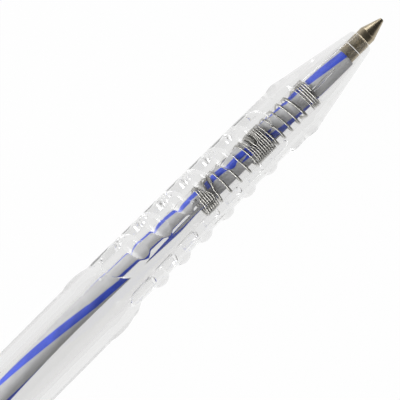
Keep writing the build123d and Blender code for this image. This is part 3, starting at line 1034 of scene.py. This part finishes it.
def pivot_place():
    """Station and height of the clip's snap bead, and its turn from the top."""
    pivot = SEAT.inverted() @ Vector(joint("clip_flex")["pos_m"])
    return pivot.x, math.hypot(pivot.y, pivot.z), math.atan2(-pivot.y, pivot.z)


def turn_to_clip(bm):
    """Turns a mesh from the top of the pen to where the clip lies."""
    _, _, turned = pivot_place()
    bmesh.ops.rotate(bm, verts=bm.verts, matrix=Matrix.Rotation(turned, 3, "X"))


def lift(outline, width):
    """Solid slab with that (station, height) outline, centred on the axis."""
    bm = bmesh.new()
    face = bm.faces.new([bm.verts.new((x, -width / 2, z)) for x, z in outline])
    made = bmesh.ops.extrude_face_region(bm, geom=[face])["geom"]
    lifted = [point for point in made if isinstance(point, bmesh.types.BMVert)]
    bmesh.ops.translate(bm, verts=lifted, vec=(0.0, width, 0.0))
    bmesh.ops.recalc_face_normals(bm, faces=bm.faces)
    return bm


def end_cap_wire(sizes, radius):
    """Collar with its spigot and its hole."""
    front, rear = stations("end_cap")
    _, tail = stations("barrel")
    hole = sizes.shaft_hole / 2
    bm, corner = draw(
        {
            "spigot_bore": (front, hole),
            "spigot": (front, sizes.spigot_diameter / 2),
            "spigot_rear": (tail, sizes.spigot_diameter / 2),
            "collar": (tail, radius),
            "rear": (rear, radius),
            "mouth": (rear, hole),
        }
    )
    soften(bm, corner["rear"], sizes.cap_edge, CAP_EDGE_STEPS)
    soften(bm, corner["mouth"], CAP_MOUTH_EDGE)
    for name in ("spigot", "collar"):
        soften(bm, corner[name], CAP_SPIGOT_EDGE, SMALL_EDGE_STEPS)
    return bm


def groove_cutter(sizes, radius):
    """What the clip's neck and snap bead need cut out of the cap."""
    station, height, _ = pivot_place()
    half_mouth = sizes.neck / 2 + sizes.neck_clearance
    groove_radius = sizes.pivot_diameter / 2 + sizes.pivot_clearance
    opening = math.degrees(math.acos(half_mouth / groove_radius))
    ring = arc((station, height), groove_radius, 180 - opening, 360 + opening, 2 * ARC_STEPS)
    top = [(station + half_mouth, 2 * radius), (station - half_mouth, 2 * radius)]
    return lift(ring + top, 2 * radius)


def carve(bm, cutter):
    """Cuts one mesh out of another, both made round the pen's axis."""
    objects = []
    for part in (bm, cutter):
        mesh = bpy.data.meshes.new("carving")
        part.to_mesh(mesh)
        objects.append(bpy.data.objects.new("carving", mesh))
        bpy.context.scene.collection.objects.link(objects[-1])
    cutter.free()
    body, tool = objects
    cut = body.modifiers.new("cut", "BOOLEAN")
    cut.operation = "DIFFERENCE"
    cut.solver = "EXACT"
    cut.object = tool
    carved = bpy.data.meshes.new_from_object(body.evaluated_get(bpy.context.evaluated_depsgraph_get()))
    bm.clear()
    bm.from_mesh(carved)
    # An object goes with its mesh
    for made in objects:
        bpy.data.meshes.remove(made.data)
    bpy.data.meshes.remove(carved)


class PEN_OT_end_cap(bpy.types.Operator):
    """Model the end cap with its groove for the clip"""

    bl_idname = "pen.end_cap"
    bl_label = "End cap"

    def execute(self, context):
        sizes = context.scene.pen_tail
        radius = context.scene.pen_barrel.ring_diameter / 2
        bm = end_cap_wire(sizes, radius)
        turn(bm, TURNED_STEPS)
        cutter = groove_cutter(sizes, radius)
        turn_to_clip(cutter)
        carve(bm, cutter)
        blue = moulded_plastic("blue_plastic", sizes.blue, BLUE_ROUGHNESS)
        piece = make_piece("moulded_cap", bm, blue, "blue_plastic", "end_cap")
        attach(piece, "barrel")
        return {"FINISHED"}


def clip_outline(sizes, barrel_radius, cap_radius):
    """Side of the clip: arm, bead, bridge, neck and snap bead."""
    tip, rear = stations("pocket_clip")
    pivot_station, pivot_height, _ = pivot_place()
    inner = barrel_radius + sizes.clip_gap
    outer = inner + sizes.clip_thickness
    bridge = cap_radius + sizes.bridge_gap
    corner = sizes.clip_corner
    bead = (tip + sizes.bead_setback, barrel_radius + sizes.bead_gap + sizes.bead_radius)
    bead_dip = math.degrees(math.asin((inner - bead[1]) / sizes.bead_radius))
    half_neck = sizes.neck / 2
    pivot_radius = sizes.pivot_diameter / 2
    neck_turn = math.degrees(math.acos(half_neck / pivot_radius))
    outline = arc((tip + corner, outer - corner), corner, 180, 90, ARC_STEPS)
    outline += arc((rear - corner, outer - corner), corner, 90, 0, ARC_STEPS)
    outline += [(rear, bridge), (pivot_station + half_neck, bridge)]
    pivot = (pivot_station, pivot_height)
    outline += arc(pivot, pivot_radius, neck_turn, -180 - neck_turn, 2 * ARC_STEPS)
    outline += [(pivot_station - half_neck, bridge), (rear - sizes.bridge_length, bridge)]
    outline += [(rear - sizes.bridge_length, inner)]
    outline += arc(bead, sizes.bead_radius, bead_dip, -180 - bead_dip, 2 * ARC_STEPS)
    return outline + [(tip, inner)]


class PEN_OT_pocket_clip(bpy.types.Operator):
    """Model the pocket clip with its bead and snap bead"""

    bl_idname = "pen.pocket_clip"
    bl_label = "Pocket clip"

    def execute(self, context):
        sizes = context.scene.pen_tail
        barrel = context.scene.pen_barrel
        bm = lift(clip_outline(sizes, barrel.diameter / 2, barrel.ring_diameter / 2), sizes.clip_width)
        arm_floor = barrel.diameter / 2 + sizes.clip_gap
        rims = [
            edge
            for edge in bm.edges
            if abs(edge.verts[0].co.y - edge.verts[1].co.y) < MERGE_DISTANCE
            and min(v.co.z for v in edge.verts) > arm_floor + MERGE_DISTANCE
        ]
        bmesh.ops.bevel(
            bm,
            geom=rims,
            offset=sizes.clip_edge,
            segments=CLIP_EDGE_STEPS,
            profile=0.5,
            affect="EDGES",
            material=-1,
        )
        turn_to_clip(bm)
        blue = moulded_plastic("blue_plastic_clip", sizes.blue, BLUE_ROUGHNESS)
        piece = make_piece("moulded_clip", bm, blue, "blue_plastic", "pocket_clip")
        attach(piece, "clip")
        return {"FINISHED"}


class PEN_OT_click_parts(bpy.types.Operator):
    """Finish the push button, the cam sleeve and the rotor"""

    bl_idname = "pen.click_parts"
    bl_label = "Click parts"

    def execute(self, context):
        sizes = context.scene.pen_tail
        blue = moulded_plastic("blue_plastic_button", sizes.blue, BUTTON_ROUGHNESS)
        finish_node("push_button", blue)
        white = moulded_plastic("white_plastic", sizes.white, WHITE_ROUGHNESS)
        finish_node("cam_sleeve", white)
        finish_node("rotor_cam", white)
        return {"FINISHED"}


# Stage

FLOOR_SIDE = 6.0
FLOOR_COLOUR = (0.6, 0.6, 0.6)
WHITE = (1.0, 1.0, 1.0, 1.0)

# Width of the camera's sensor in millimetres, and how many times nearer and farther than its aim it sees
SENSOR_WIDTH = 36.0
CLIP_REACH = 100

# Middle of the dark ceiling, leaning towards the point. An edge is where the ceiling, the rear window or
# the roof over clear plastic fades, as the share of a way that lies along that middle, X or Z.
CEILING_LEAN = math.radians(50)
CEILING_WAY = (math.sin(CEILING_LEAN), 0.0, math.cos(CEILING_LEAN))
CEILING_EDGE = (0.2, 0.6)
WINDOW_EDGE = (-0.8, -0.45)
ROOF_EDGE = (0.84, 0.97)
RIGHT_TO_LEFT = (-1.0, 1.0)

# Meetings of a ray are counted in whole numbers, so these part none from one, and two from three. A ray in
# one wall of the barrel, or out of it again, has crossed one or two surfaces.
SOME_DEPTH = 0.5
ONE_WALL_DEPTH = 2.5

# Lamps as bearing and height in degrees, then distance, width and length in metres. The bearing runs from
# the point of the pen towards its left.
TALL_LAMP = (47, 11, 0.6, 0.17, 0.32)
FILL_LAMP = (140, 38, 0.22, 0.18, 0.18)


def seen_rays(tree, *kinds):
    """1 for camera rays and for those kinds of ray, 0 for the rays that carry light."""
    total = ray(tree, "Is Camera Ray")
    for kind in kinds:
        total = combine(tree, "ADD", total, ray(tree, kind), clamp=True)
    return total


def floor_finish(white_share, painted_shadow_white):
    """White floor that keeps a soft shadow, and whose glow is dimmed by a painted shadow where it is seen
    through clear plastic.
    """
    material, tree, shader = new_finish("studio_floor")
    shader.inputs["Base Color"].default_value = (*FLOOR_COLOUR, 1.0)
    shader.inputs["Roughness"].default_value = 1.0
    shader.inputs["Specular IOR Level"].default_value = 0.0
    glow = tree.nodes.new("ShaderNodeEmission")
    # Painted shadow: rays that come through clear plastic see the floor's glow dimmed
    shaded = spread(tree, ray(tree, "Is Transmission Ray"), 1.0, painted_shadow_white)
    tree.links.new(shaded, glow.inputs["Strength"])
    seen = seen_rays(tree, "Is Glossy Ray", "Is Transmission Ray")
    amount = combine(tree, "MULTIPLY", seen, white_share)
    surface = mix_shaders(tree, amount, shader.outputs["BSDF"], glow.outputs["Emission"])
    tree.links.new(surface, tree.nodes["Material Output"].inputs["Surface"])
    return material


def add_floor(stage):
    """Flat floor under the pen."""
    bm = bmesh.new()
    bmesh.ops.create_grid(bm, x_segments=1, y_segments=1, size=FLOOR_SIDE / 2)
    mesh = bpy.data.meshes.new("floor")
    bm.to_mesh(mesh)
    bm.free()
    mesh.materials.append(floor_finish(stage.floor_white, stage.painted_shadow_white))
    floor = bpy.data.objects.new("floor", mesh)
    bpy.context.scene.collection.objects.link(floor)


def mirrored_rays(tree):
    """1 for rays that a polished surface has mirrored, else 0."""
    return combine(tree, "SUBTRACT", ray(tree, "Glossy Depth"), ray(tree, "Diffuse Depth"), clamp=True)


def clear_rays(tree):
    """1 for rays that have met only clear plastic and were mirrored nowhere but in one wall, else 0."""
    crossings = ray(tree, "Transmission Depth")
    straight = combine(tree, "LESS_THAN", ray(tree, "Glossy Depth"), SOME_DEPTH)
    crossed = combine(tree, "GREATER_THAN", crossings, SOME_DEPTH)
    in_wall = combine(tree, "MULTIPLY", crossed, combine(tree, "LESS_THAN", crossings, ONE_WALL_DEPTH))
    either = combine(tree, "MAXIMUM", straight, in_wall)
    return combine(tree, "SUBTRACT", either, ray(tree, "Diffuse Depth"), clamp=True)


def studio_world(stage):
    """Bright walls under a dark ceiling, and plain white behind the pen."""
    world = bpy.data.worlds.new("studio")
    world.use_nodes = True
    tree = world.node_tree
    place = tree.nodes.new("ShaderNodeTexCoord")
    way = tree.nodes.new("ShaderNodeSeparateXYZ")
    tree.links.new(place.outputs["Generated"], way.inputs["Vector"])
    overhead = tree.nodes.new("ShaderNodeVectorMath")
    overhead.operation = "DOT_PRODUCT"
    overhead.inputs[1].default_value = CEILING_WAY
    tree.links.new(place.outputs["Generated"], overhead.inputs[0])
    walls = spread(tree, way.outputs["Y"], stage.right_sky, stage.left_sky, *RIGHT_TO_LEFT)
    rear = spread(tree, way.outputs["X"], 1.0, 0.0, *WINDOW_EDGE)
    rear_light = spread(tree, mirrored_rays(tree), stage.rear_sky, stage.rear_window)
    bright = combine(tree, "ADD", walls, combine(tree, "MULTIPLY", rear, rear_light))
    ceiling = spread(tree, overhead.outputs["Value"], 1.0, stage.ceiling, *CEILING_EDGE)
    sides = spread(tree, way.outputs["Y"], stage.wall_right, stage.wall_left, *RIGHT_TO_LEFT)
    roof = spread(tree, way.outputs["Z"], 1.0, stage.ceiling, *ROOF_EDGE)
    sky = tree.nodes["Background"]
    behind_wall = tree.nodes.new("ShaderNodeBackground")
    plain = tree.nodes.new("ShaderNodeBackground")
    for background in (sky, behind_wall, plain):
        background.inputs["Color"].default_value = WHITE
    tree.links.new(combine(tree, "MULTIPLY", bright, ceiling), sky.inputs["Strength"])
    tree.links.new(combine(tree, "MULTIPLY", sides, roof), behind_wall.inputs["Strength"])
    surface = sky.outputs["Background"]
    for rays, background in ((clear_rays(tree), behind_wall), (seen_rays(tree), plain)):
        surface = mix_shaders(tree, rays, surface, background.outputs["Background"])
    tree.links.new(surface, tree.nodes["World Output"].inputs["Surface"])
    bpy.context.scene.world = world


def add_lamp(name, aim, place, watts):
    """Lamp that looks at its aim and isn't seen through clear plastic."""
    bearing, height, distance, width, length = place
    data = bpy.data.lights.new(name, "AREA")
    data.shape = "RECTANGLE"
    data.size = width
    data.size_y = length
    data.energy = watts
    turned = math.radians(bearing)
    raised = math.radians(height)
    level = math.cos(raised)
    way = Vector((math.cos(turned) * level, math.sin(turned) * level, math.sin(raised)))
    lamp = bpy.data.objects.new(name, data)
    lamp.location = aim + way * distance
    lamp.rotation_euler = way.to_track_quat("Z", "Y").to_euler()
    lamp.visible_transmission = False
    bpy.context.scene.collection.objects.link(lamp)
    return lamp


def add_camera(stage, aim):
    """Camera nearly overhead, with the pen along the picture's diagonal."""
    data = bpy.data.cameras.new("camera")
    data.sensor_width = SENSOR_WIDTH
    data.lens = SENSOR_WIDTH * stage.distance / stage.field
    data.clip_start = stage.distance / CLIP_REACH
    data.clip_end = stage.distance * CLIP_REACH
    camera = bpy.data.objects.new("camera", data)
    facing = Matrix.Rotation(-stage.lean, 4, "Y") @ Matrix.Rotation(-stage.roll, 4, "Z")
    camera.matrix_world = Matrix.Translation(aim) @ facing @ Matrix.Translation((0.0, 0.0, stage.distance))
    bpy.context.scene.collection.objects.link(camera)
    bpy.context.scene.camera = camera


class PEN_OT_stage(bpy.types.Operator):
    """Set up the floor, the light and the camera"""

    bl_idname = "pen.stage"
    bl_label = "Stage"

    def execute(self, context):
        stage = context.scene.pen_stage
        aim = SEAT @ Vector((stage.aim_station, -stage.aim_offset, 0.0))
        add_floor(stage)
        studio_world(stage)
        add_lamp("tall_lamp", aim, TALL_LAMP, stage.lamp_power)
        fill = add_lamp("fill", aim, FILL_LAMP, stage.fill_power)
        fill.visible_glossy = False
        add_camera(stage, aim)
        context.scene.view_settings.view_transform = "Standard"
        return {"FINISHED"}


class PEN_PT_pieces(bpy.types.Panel):
    """Lists the pieces of the pen and their sizes"""

    bl_idname = "PEN_PT_pieces"
    bl_label = "Clear Click Pen"
    bl_space_type = "VIEW_3D"
    bl_region_type = "UI"
    bl_category = "Pen"

    def draw(self, context):
        for operator in OPERATORS:
            self.layout.operator(operator.bl_idname)
        for name, group in GROUPS.items():
            box = self.layout.box()
            box.label(text=group.__doc__)
            for key in group.__annotations__:
                box.prop(getattr(context.scene, name), key)


GROUPS = {
    "pen_barrel": BarrelSizes,
    "pen_spring": SpringSizes,
    "pen_refill": RefillSizes,
    "pen_point": PointSizes,
    "pen_tail": TailSizes,
    "pen_stage": StageSettings,
}

OPERATORS = [
    PEN_OT_barrel,
    PEN_OT_return_spring,
    PEN_OT_refill,
    PEN_OT_point,
    PEN_OT_end_cap,
    PEN_OT_pocket_clip,
    PEN_OT_click_parts,
    PEN_OT_stage,
]


def register():
    for each in [*GROUPS.values(), *OPERATORS, PEN_PT_pieces]:
        bpy.utils.register_class(each)
    for name, group in GROUPS.items():
        setattr(bpy.types.Scene, name, PointerProperty(type=group))


def unregister():
    for name in GROUPS:
        delattr(bpy.types.Scene, name)
    for each in [PEN_PT_pieces, *OPERATORS, *GROUPS.values()]:
        bpy.utils.unregister_class(each)


def main():
    register()
    bpy.ops.pen.barrel()
    bpy.ops.pen.return_spring()
    bpy.ops.pen.refill()
    bpy.ops.pen.point()
    bpy.ops.pen.end_cap()
    bpy.ops.pen.pocket_clip()
    bpy.ops.pen.click_parts()
    bpy.ops.pen.stage()


if __name__ == "__main__":
    main()
